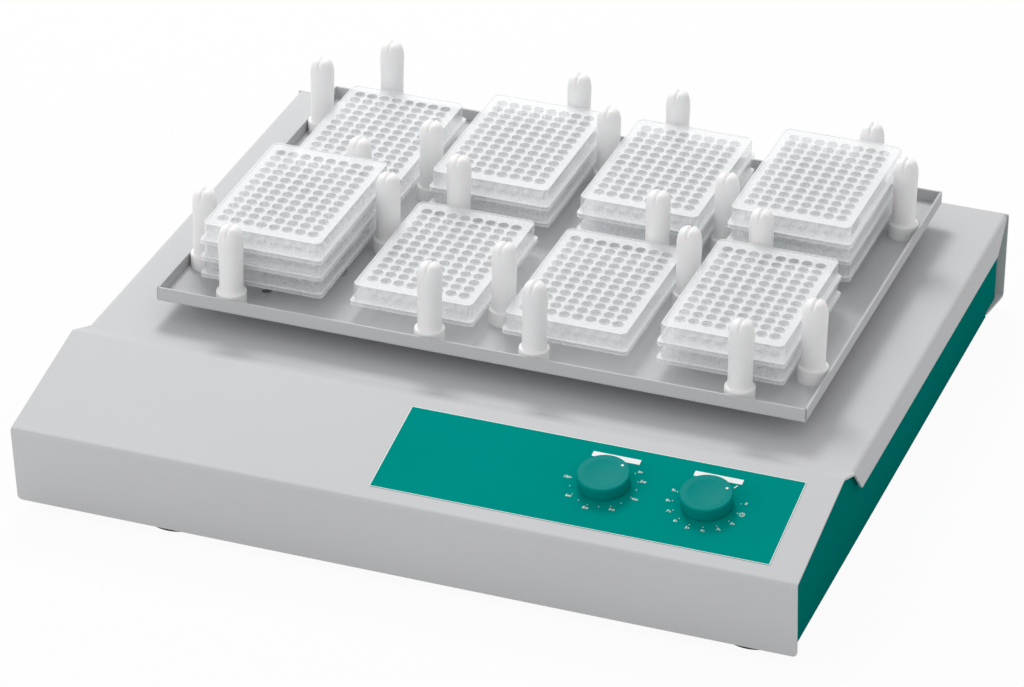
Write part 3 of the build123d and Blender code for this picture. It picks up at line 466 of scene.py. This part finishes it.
def clear_polystyrene():
    """Clear plastic that looks milky, and mirrors more at a slant. Its upward faces are milkier: a
    painted sheen on the plates' tops.
    """
    made = new_material("clear_polystyrene")
    tree, milk = opened(made)
    milk.inputs["Base Color"].default_value = shade(MILK)
    milk.inputs["Roughness"].default_value = 0.3
    milk.inputs["Specular IOR Level"].default_value = 0.2
    clear = add(tree, "ShaderNodeBsdfTransparent", {"Color": shade(CLEAR_TINT)}).outputs["BSDF"]
    mirror = add(tree, "ShaderNodeBsdfGlossy", {"Color": shade(WHITE), "Roughness": 0.1})
    ripple = noise(tree, 420.0, detail=3.0, rough=0.6)
    normal = relief(tree, ripple, depth=0.12 * MM, strength=0.5)
    tree.links.new(normal, mirror.inputs["Normal"])
    facing = add(tree, "ShaderNodeNewGeometry").outputs["Normal"]
    upward = add(tree, "ShaderNodeSeparateXYZ", {"Vector": facing}).outputs["Z"]
    streaks = spread(tree, ripple, -HAZE_SPREAD, HAZE_SPREAD)
    # Upward faces get more milk than walls: a painted sheen for the light that the tops reflect.
    level = spread(tree, upward, HAZE_SIDE, TOP_HAZE_AND_PAINTED_SHEEN, from_low=0.3, from_high=0.9)
    milk_and_top_sheen = calculate(tree, "ADD", level, streaks)
    slant = add(tree, "ShaderNodeLayerWeight", {"Blend": 0.5, "Normal": normal}).outputs["Facing"]
    steep = calculate(tree, "POWER", slant, GLOSS_POWER)
    gloss = spread(tree, steep, GLOSS_HEAD_ON, GLOSS_GRAZING, from_low=0.0, from_high=1.0)
    hazy = mix_shaders(tree, milk_and_top_sheen, clear, milk.outputs["BSDF"])
    whole = mix_shaders(tree, gloss, hazy, mirror.outputs["BSDF"])
    tree.links.new(whole, tree.nodes["Material Output"].inputs["Surface"])
    return made


FINISHES = {
    "grey_paint": grey_paint,
    "tray_paint": tray_paint,
    "teal_paint": teal_paint,
    "teal_film": teal_film,
    "teal_plastic": teal_plastic,
    "white_plastic": white_plastic,
    "dark_plastic": dark_plastic,
    "clear_polystyrene": clear_polystyrene,
    "black_rubber": black_rubber,
    "bright_steel": bright_steel,
    "bearing_steel": bearing_steel,
    "core_steel": core_steel,
    "zinc_sheet": zinc_sheet,
    "motor_can": motor_can,
    "alloy": alloy,
    "cast_alloy": cast_alloy,
    "cast_iron_grey": cast_iron_grey,
    "copper_coil": copper_coil,
    "brass_blade": brass_blade,
    "board_green": board_green,
}


def dress_nodes(frame, finishes):
    """Each node of the part gets the finish of its slot."""
    for part in frame["record"]["subparts"]:
        node = frame["nodes"][part["node"]]
        node.data.materials.clear()
        node.data.materials.append(finishes[part["material_slot"]])


def link(name, data):
    """A new object in the scene."""
    made = bpy.data.objects.new(name, data)
    bpy.context.scene.collection.objects.link(made)
    return made


def photo_camera():
    """The photograph's camera."""
    yaw, pitch, roll = (math.radians(angle) for angle in (CAMERA_YAW, CAMERA_PITCH, CAMERA_ROLL))
    level = math.cos(pitch)
    forward = Vector((-math.sin(yaw) * level, math.cos(yaw) * level, math.sin(pitch)))
    right = forward.cross(UP).normalized()
    up = right.cross(forward)
    tilted_right = math.cos(roll) * right + math.sin(roll) * up
    tilted_up = math.cos(roll) * up - math.sin(roll) * right
    data = bpy.data.cameras.new("photo_camera")
    data.sensor_width = SENSOR_WIDTH
    data.lens = CAMERA_LENS
    camera = link("photo_camera", data)
    turn = Matrix((tilted_right, tilted_up, -forward)).transposed().to_4x4()
    camera.matrix_world = Matrix.Translation(CAMERA_PLACE) @ turn
    bpy.context.scene.camera = camera


def lamp(name, where, aim, size, power):
    """A soft rectangular lamp that faces a point."""
    data = bpy.data.lights.new(name, "AREA")
    data.shape = "RECTANGLE"
    data.size, data.size_y = size
    data.energy = power
    made = link(name, data)
    turn = (Vector(aim) - Vector(where)).to_track_quat("-Z", "Y").to_matrix().to_4x4()
    made.matrix_world = Matrix.Translation(where) @ turn


def seen_as_white(tree):
    """1 for what the camera sees, straight, in a mirror or through glass, and 0 for light."""
    rays = add(tree, "ShaderNodeLightPath").outputs
    straight_or_mirrored = calculate(tree, "MAXIMUM", rays["Is Camera Ray"], rays["Is Glossy Ray"])
    return calculate(tree, "MAXIMUM", straight_or_mirrored, rays["Is Transmission Ray"])


def surround():
    """A world that lights the object softly and looks white."""
    sky = bpy.data.worlds.new("studio")
    sky.use_nodes = True
    bpy.context.scene.world = sky
    tree = sky.node_tree
    light = tree.nodes["Background"]
    light.inputs["Color"].default_value = shade(WHITE)
    light.inputs["Strength"].default_value = SKY_LEVEL
    white = add(tree, "ShaderNodeBackground", {"Color": shade(WHITE), "Strength": 1.0}).outputs[0]
    both = mix_shaders(tree, seen_as_white(tree), light.outputs[0], white)
    tree.links.new(both, tree.nodes["World Output"].inputs["Surface"])


def pale_floor():
    """A plain floor that the camera sees nearly white, with a faint shadow of the object."""
    mesh = bpy.data.meshes.new("floor")
    corners = [(-1, -1), (1, -1), (1, 1), (-1, 1)]
    mesh.from_pydata([(x * FLOOR_HALF, y * FLOOR_HALF, 0.0) for x, y in corners], [], [(0, 1, 2, 3)])
    floor = link("floor", mesh)
    made = new_material("floor_white")
    tree, plain = opened(made)
    plain.inputs["Base Color"].default_value = shade(WHITE, FLOOR_WHITE)
    plain.inputs["Roughness"].default_value = FLOOR_ROUGH
    plain.inputs["Specular IOR Level"].default_value = FLOOR_MIRROR
    glow = add(tree, "ShaderNodeEmission", {"Color": shade(WHITE), "Strength": 1.0}).outputs[0]
    share = calculate(tree, "MULTIPLY", seen_as_white(tree), FLOOR_GLOW)
    whole = mix_shaders(tree, share, plain.outputs[0], glow)
    tree.links.new(whole, tree.nodes["Material Output"].inputs["Surface"])
    mesh.materials.append(made)


def studio():
    """A plain pale floor, a white surround and soft lamps."""
    surround()
    pale_floor()
    lamp("key", KEY_PLACE, KEY_AIM, KEY_SIZE, KEY_POWER)
    lamp("fill", FILL_PLACE, FILL_AIM, FILL_SIZE, FILL_POWER)


def direction(angle):
    """The point at an angle on a circle of radius 1."""
    return math.cos(angle), math.sin(angle)


def bridge(bm, first, second):
    """A band of faces between two rings of as many points."""
    count = len(first)
    for i in range(count):
        j = (i + 1) % count
        bm.faces.new((first[i], first[j], second[j], second[i]))


def bands(bm, rings):
    """A band of faces from each ring to the next one."""
    for first, second in zip(rings, rings[1:]):
        bridge(bm, first, second)


def finished_mesh(name, bm, material, sharp_angle=None):
    """The mesh in its finish. With an angle it is smooth but for the edges above that angle."""
    bmesh.ops.recalc_face_normals(bm, faces=bm.faces)
    mesh = bpy.data.meshes.new(name)
    bm.to_mesh(mesh)
    bm.free()
    mesh.materials.append(material)
    if sharp_angle is not None:
        mesh.shade_smooth()
        mesh.set_sharp_from_angle(angle=sharp_angle)
    return mesh


def circle(bm, centre, radius, z):
    """A ring of points whose first one lies towards the cell's lower right corner."""
    ring = []
    for step in range(WELL_SIDES):
        x, y = direction(math.radians(-45 + 360 * step / WELL_SIDES))
        ring.append(bm.verts.new((centre[0] + radius * x, centre[1] + radius * y, z)))
    return ring


def square(bm, centre, half, z):
    """As many points as a circle's, on the border of a cell."""
    ring = []
    per_side = WELL_SIDES // 4
    for step in range(WELL_SIDES):
        along = -half + 2 * half * (step % per_side) / per_side
        side = Matrix.Rotation(math.radians(90 * (step // per_side)), 2)
        offset = side @ Vector((half, along))
        ring.append(bm.verts.new((centre[0] + offset.x, centre[1] + offset.y, z)))
    return ring


def outline(bm, half_x, half_y, corner, z, chamfered=False):
    """A ring round the plate with rounded or chamfered corners."""
    ring = []
    quarter_turn = math.pi / 2
    for quarter, (sign_x, sign_y) in enumerate(((1, 1), (-1, 1), (-1, -1), (1, -1))):
        middle = Vector((sign_x * (half_x - corner), sign_y * (half_y - corner)))
        first = Vector(direction(quarter_turn * quarter))
        last = Vector(direction(quarter_turn * (quarter + 1)))
        for step in range(CORNER_STEPS + 1):
            share = step / CORNER_STEPS
            rounded = Vector(direction(quarter_turn * (quarter + share)))
            offset = first.lerp(last, share) if chamfered else rounded
            point = middle + corner * offset
            ring.append(bm.verts.new((point.x, point.y, z)))
    return ring


def ring_edges(ring):
    """The edges between a ring's neighbours."""
    edges = []
    for first, second in zip(ring, ring[1:] + ring[:1]):
        edge = [e for e in first.link_edges if e.other_vert(first) == second]
        edges.append(edge[0])
    return edges


def well(bm, centre, height):
    """A cell of the deck with the rim, mouth, wall and floor of its well."""
    deck = height - WELL_RIM_RISE
    floor = height - WELL_DEPTH
    rings = [
        square(bm, centre, WELL_PITCH / 2, deck),
        circle(bm, centre, WELL_RIM_FOOT, deck),
        circle(bm, centre, WELL_RIM_EDGE, height),
        circle(bm, centre, WELL_MOUTH, height),
        circle(bm, centre, WELL_FLOOR, floor + WELL_FLOOR_EDGE),
        circle(bm, centre, WELL_FLOOR - WELL_FLOOR_EDGE, floor),
    ]
    bands(bm, rings)
    bm.faces.new(rings[-1])


def plate_shell(bm, width, depth, height):
    """Rings of a plate from the deck's border over the lip, wall and skirt to the recess below."""
    deck = height - WELL_RIM_RISE
    half_x = width / 2 - PLATE_INSET
    half_y = depth / 2 - PLATE_INSET
    lip_x = half_x - PLATE_LIP
    lip_y = half_y - PLATE_LIP
    lip_corner = PLATE_CHAMFER - PLATE_LIP / 2
    nest = PLATE_INSET - PLATE_NEST_GAP
    nest_x = width / 2 - nest
    nest_y = depth / 2 - nest
    nest_corner = PLATE_CORNER - nest
    return [
        outline(bm, lip_x, lip_y, lip_corner, deck, chamfered=True),
        outline(bm, lip_x, lip_y, lip_corner, height, chamfered=True),
        outline(bm, half_x - PLATE_EDGE, half_y - PLATE_EDGE, PLATE_CHAMFER, height, chamfered=True),
        outline(bm, half_x, half_y, PLATE_CHAMFER, height - PLATE_EDGE, chamfered=True),
        outline(bm, half_x, half_y, PLATE_CHAMFER, PLATE_SKIRT, chamfered=True),
        outline(bm, width / 2 - PLATE_EDGE, depth / 2 - PLATE_EDGE, PLATE_CORNER, PLATE_SKIRT),
        outline(bm, width / 2, depth / 2, PLATE_CORNER, PLATE_SKIRT - PLATE_EDGE),
        outline(bm, width / 2, depth / 2, PLATE_CORNER, 0.0),
        outline(bm, nest_x, nest_y, nest_corner, 0.0),
        outline(bm, nest_x, nest_y, nest_corner, PLATE_NEST),
    ]


def plate_mesh(width, depth, height, material):
    """A clear plate: deck with its grid of wells, lip, walls, skirt and the recess below it."""
    bm = bmesh.new()
    for column in range(WELL_COLUMNS):
        for row in range(WELL_ROWS):
            x = (column - (WELL_COLUMNS - 1) / 2) * WELL_PITCH
            y = (row - (WELL_ROWS - 1) / 2) * WELL_PITCH
            well(bm, (x, y), height)
    bmesh.ops.remove_doubles(bm, verts=bm.verts, dist=MERGE_DISTANCE)
    grid_border = [edge for edge in bm.edges if edge.is_boundary]
    shell = plate_shell(bm, width, depth, height)
    bands(bm, shell)
    bmesh.ops.triangle_fill(bm, edges=grid_border + ring_edges(shell[0]), use_beauty=True)
    bm.faces.new(shell[-1])
    return finished_mesh("plate_wells", bm, material, PLATE_SHARP_ANGLE)


def plates(frame, finishes):
    """The clear plates, one mesh for all of them, each in its node's place."""
    material = finishes["clear_polystyrene"]
    mesh = None
    for name in sorted(frame["nodes"]):
        if not name.startswith("plate_"):
            continue
        low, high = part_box(name)
        if mesh is None:
            mesh = plate_mesh(high.x - low.x, high.y - low.y, high.z - low.z, material)
        piece = link(f"{name}_wells", mesh)
        piece.location = ((low.x + high.x) / 2, (low.y + high.y) / 2, low.z)
        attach(piece, name)
        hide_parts(name)


def pin_feet(node):
    """The foot of each shaft in a node, from its separate solids, row by row from the left."""
    bm = bmesh.new()
    bm.from_mesh(node.data)
    bmesh.ops.remove_doubles(bm, verts=bm.verts, dist=MERGE_DISTANCE)
    left = set(bm.verts)
    feet = []
    while left:
        solid = {left.pop()}
        waiting = list(solid)
        while waiting:
            vertex = waiting.pop()
            near = {edge.other_vert(vertex) for edge in vertex.link_edges} - solid
            solid |= near
            waiting += near
        left -= solid
        low = Vector([min(v.co[i] for v in solid) for i in range(3)])
        high = Vector([max(v.co[i] for v in solid) for i in range(3)])
        if high.z - low.z > PIN_SHORTEST:
            feet.append(Vector(((low.x + high.x) / 2, (low.y + high.y) / 2, low.z)))
    bm.free()
    return sorted(feet, key=lambda foot: (round(foot.y, PIN_ROW_DIGITS), foot.x))


def turned_pin(bm, foot):
    """A pin with its collar, a swelling head and a shallow notch across the crown."""
    rings = []
    for radius, height in PIN_RINGS:
        ring = []
        for step in range(PIN_SIDES):
            turn_x, turn_y = direction(2 * math.pi * step / PIN_SIDES)
            x, y, z = radius * MM * turn_x, radius * MM * turn_y, height * MM
            if z > NOTCH_LOWEST and abs(x) < NOTCH_HALF:
                z -= NOTCH_DEPTH * (1 - abs(x) / NOTCH_HALF)
            ring.append(bm.verts.new(foot + Vector((x, y, z))))
        rings.append(ring)
    bands(bm, rings)
    bm.faces.new(rings[0][::-1])
    top = rings[-1]
    crown = bm.verts.new(foot + Vector((0, 0, PIN_RINGS[-1][1] * MM - NOTCH_DEPTH)))
    for first, second in zip(top, top[1:] + top[:1]):
        bm.faces.new((first, second, crown))


def pins(frame, finishes):
    """The turned pins, each group in its node's place."""
    for name in ("pins_front", "pins_middle", "pins_rear"):
        bm = bmesh.new()
        for foot in pin_feet(frame["nodes"][name]):
            turned_pin(bm, foot)
        mesh = finished_mesh(f"{name}_turned", bm, finishes["white_plastic"], PIN_SHARP_ANGLE)
        piece = link(f"{name}_turned", mesh)
        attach(piece, "tray")
        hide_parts(name)


class Panel:
    """The control film's surface: u to the right and v up, from its lower left corner."""

    def __init__(self):
        slope = math.radians(PANEL_SLOPE)
        self.right = Vector((1, 0, 0))
        self.up = Vector((0, math.cos(slope), math.sin(slope)))
        self.out = self.right.cross(self.up)
        low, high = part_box("control_overlay")
        self.low_corner = Vector((low.x, low.y, low.z + FILM * math.cos(slope)))
        self.width = high.x - low.x
        self.height = ((high.y - low.y) - FILM * math.sin(slope)) / math.cos(slope)

    def dial(self, knob):
        """A knob's axis on the film."""
        low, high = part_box(knob)
        offset = (low + high) / 2 - self.low_corner
        return Vector((offset.dot(self.right), offset.dot(self.up)))

    def matrix(self, u, v, height=0.0):
        """The frame at a point of the film, with its Z out of it."""
        turn = Matrix((self.right, self.up, self.out)).transposed().to_4x4()
        point = self.low_corner + u * self.right + v * self.up + height * self.out
        return Matrix.Translation(point) @ turn


def around(centre, radius, angle):
    """A point on a ring round a dial, at an angle in degrees."""
    return centre + radius * Vector(direction(math.radians(angle)))


def rectangle(left, low, right, high):
    """The outline of a rectangle."""
    return [(left, low), (right, low), (right, high), (left, high)]


def disc(radius):
    """The outline of a round dot."""
    turns = [direction(2 * math.pi * i / DOT_SIDES) for i in range(DOT_SIDES)]
    return [(radius * x, radius * y) for x, y in turns]


def prism(bm, points, height, matrix):
    """A flat closed piece with an outline and a height."""
    foot = [bm.verts.new(matrix @ Vector((x, y, 0.0))) for x, y in points]
    head = [bm.verts.new(matrix @ Vector((x, y, height))) for x, y in points]
    bridge(bm, foot, head)
    bm.faces.new(head)
    bm.faces.new(foot[::-1])


def closed_line(bm, outer, inner, matrix):
    """A flat closed white line between an outer and an inner outline: print, and round the film's
    edge a painted highlight.
    """
    rings = []
    for points, height in ((outer, 0.0), (outer, INK_AND_HIGHLIGHT_THICKNESS), (inner, INK_AND_HIGHLIGHT_THICKNESS), (inner, 0.0)):
        rings.append([bm.verts.new(matrix @ Vector((x, y, height))) for x, y in points])
    bands(bm, rings + rings[:1])


def add_text(bm, words, size, matrix):
    """Characters in the built-in face, to the right of a place. Gives their width."""
    data = bpy.data.curves.new("label", "FONT")
    data.body = words
    data.size = size
    data.shear = LABEL_SLANT
    data.align_x = "LEFT"
    data.align_y = "CENTER"
    data.extrude = INK_AND_HIGHLIGHT_THICKNESS / 2
    data.offset = size * LABEL_WEIGHT
    data.resolution_u = LABEL_CURVE_STEPS
    text = link("label", data)
    bpy.context.view_layer.update()
    evaluated = text.evaluated_get(bpy.context.evaluated_depsgraph_get())
    mesh = bpy.data.meshes.new_from_object(evaluated)
    width = max(v.co.x for v in mesh.vertices) - min(v.co.x for v in mesh.vertices)
    mesh.transform(matrix @ Matrix.Translation((0, 0, INK_AND_HIGHLIGHT_THICKNESS / 2)))
    bm.from_mesh(mesh)
    bpy.data.objects.remove(text)
    return width


def text_width(words, size):
    """How wide the characters run."""
    trial = bmesh.new()
    width = add_text(trial, words, size, Matrix.Identity(4))
    trial.free()
    return width


def label(bm, panel, spot, big, small):
    """A number whose last characters are small, around a point of the film."""
    small_size = LABEL_SIZE * SMALL_SHARE
    gap = LABEL_GAP * LABEL_SIZE
    big_width = text_width(big, LABEL_SIZE)
    small_width = text_width(small, small_size) + gap if small else 0.0
    left = spot.x - (big_width + small_width) / 2
    add_text(bm, big, LABEL_SIZE, panel.matrix(left, spot.y))
    if small:
        drop = 0.5 * LABEL_SIZE * (1 - SMALL_SHARE) * DIGIT_HEIGHT
        add_text(bm, small, small_size, panel.matrix(left + big_width + gap, spot.y - drop))


def clock_sign(bm, matrix):
    """A small clock face: a ring with two hands."""
    closed_line(bm, disc(CLOCK_RADIUS), disc(CLOCK_RADIUS - CLOCK_LINE), matrix)
    half = CLOCK_LINE / 2
    prism(bm, rectangle(-half, -half, half, CLOCK_LONG_HAND), INK_AND_HIGHLIGHT_THICKNESS, matrix)
    prism(bm, rectangle(-half, -half, CLOCK_SHORT_HAND, half), INK_AND_HIGHLIGHT_THICKNESS, matrix)


def end_stroke(bm, matrix):
    """The short thick line at the end of the timer's scale, along the dial's radius."""
    turn = Matrix.Rotation(math.radians(TIMER_STROKE_ANGLE - 90), 4, "Z")
    x, y = STROKE_HALF_WIDTH, STROKE_HALF_LENGTH
    prism(bm, rectangle(-x, -y, x, y), INK_AND_HIGHLIGHT_THICKNESS, matrix @ turn)


def ink_piece(name, bm, finishes):
    """White marks in a mesh, riding on the housing: print, and the painted highlight round the
    film's edge.
    """
    piece = link(name, finished_mesh(name, bm, finishes["white_ink"]))
    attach(piece, "base")


def border_line(panel, finishes):
    """A painted highlight: a thin white line where the film's edge catches the light."""
    bm = bmesh.new()
    inset = EDGE_HIGHLIGHT_WIDTH
    outer = rectangle(0.0, 0.0, panel.width, panel.height)
    inner = rectangle(inset, inset, panel.width - inset, panel.height - inset)
    # The film's edge catches the light: this white line is a painted highlight, not print.
    closed_line(bm, outer, inner, panel.matrix(0.0, 0.0))
    ink_piece("overlay_painted_edge_highlight", bm, finishes)


def dial_marks(dial, panel, finishes):
    """The bar over a dial, and the numbers, ticks and signs round it."""
    bm = bmesh.new()
    centre = panel.dial(f"{dial}_knob")
    prism(bm, rectangle(BAR_LEFT, BAR_LOW, BAR_RIGHT, BAR_HIGH), INK_AND_HIGHLIGHT_THICKNESS, panel.matrix(*centre))
    for big, small, angle in DIAL_LABELS[dial]:
        label(bm, panel, around(centre, LABEL_RADIUS, angle), big, small)
    numbered = {angle for big, small, angle in DIAL_LABELS[dial]}
    for angle in sorted(numbered | set(BARE_TICKS[dial])):
        prism(bm, disc(TICK_DOT), INK_AND_HIGHLIGHT_THICKNESS, panel.matrix(*around(centre, TICK_RADIUS, angle)))
    if dial == "timer":
        clock_sign(bm, panel.matrix(*around(centre, LABEL_RADIUS, TIMER_CLOCK_ANGLE)))
        end_stroke(bm, panel.matrix(*around(centre, STROKE_RADIUS, TIMER_STROKE_ANGLE)))
    ink_piece(f"{dial}_dial_marks", bm, finishes)


def printing(panel, finishes):
    """The painted highlight round the film's edge, and what is printed round the two dials."""
    border_line(panel, finishes)
    for dial in ("speed", "timer"):
        dial_marks(dial, panel, finishes)


def pointer_dots(panel, finishes):
    """White paint in each knob's dimple."""
    for dial, angle in POINTER_ANGLES.items():
        knob = f"{dial}_knob"
        points = [vertex.co for vertex in bpy.data.objects[knob].data.vertices]
        top = max((point - panel.low_corner).dot(panel.out) for point in points)
        spot = around(panel.dial(knob), POINTER_RING, angle)
        bm = bmesh.new()
        prism(bm, disc(POINTER_DOT), KNOB_DIMPLE, panel.matrix(spot.x, spot.y, top - KNOB_DIMPLE))
        name = f"{dial}_pointer_dot"
        piece = link(name, finished_mesh(name, bm, finishes["white_ink"]))
        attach(piece, f"{dial}_knob")


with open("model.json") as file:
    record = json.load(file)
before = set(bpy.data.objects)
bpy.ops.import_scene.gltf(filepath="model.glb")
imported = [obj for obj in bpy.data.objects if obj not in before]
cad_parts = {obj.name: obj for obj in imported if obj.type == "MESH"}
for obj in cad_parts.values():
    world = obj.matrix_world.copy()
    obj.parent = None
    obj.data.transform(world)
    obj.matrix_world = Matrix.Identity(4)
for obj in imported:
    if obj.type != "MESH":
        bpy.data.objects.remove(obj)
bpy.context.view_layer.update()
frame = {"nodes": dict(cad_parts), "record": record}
photo_camera()
studio()
finishes = {slot: make() for slot, make in FINISHES.items()}
finishes["white_ink"] = white_ink()
dress_nodes(frame, finishes)
plates(frame, finishes)
pins(frame, finishes)
film = Panel()
printing(film, finishes)
pointer_dots(film, finishes)
bpy.context.scene.view_settings.view_transform = "Standard"
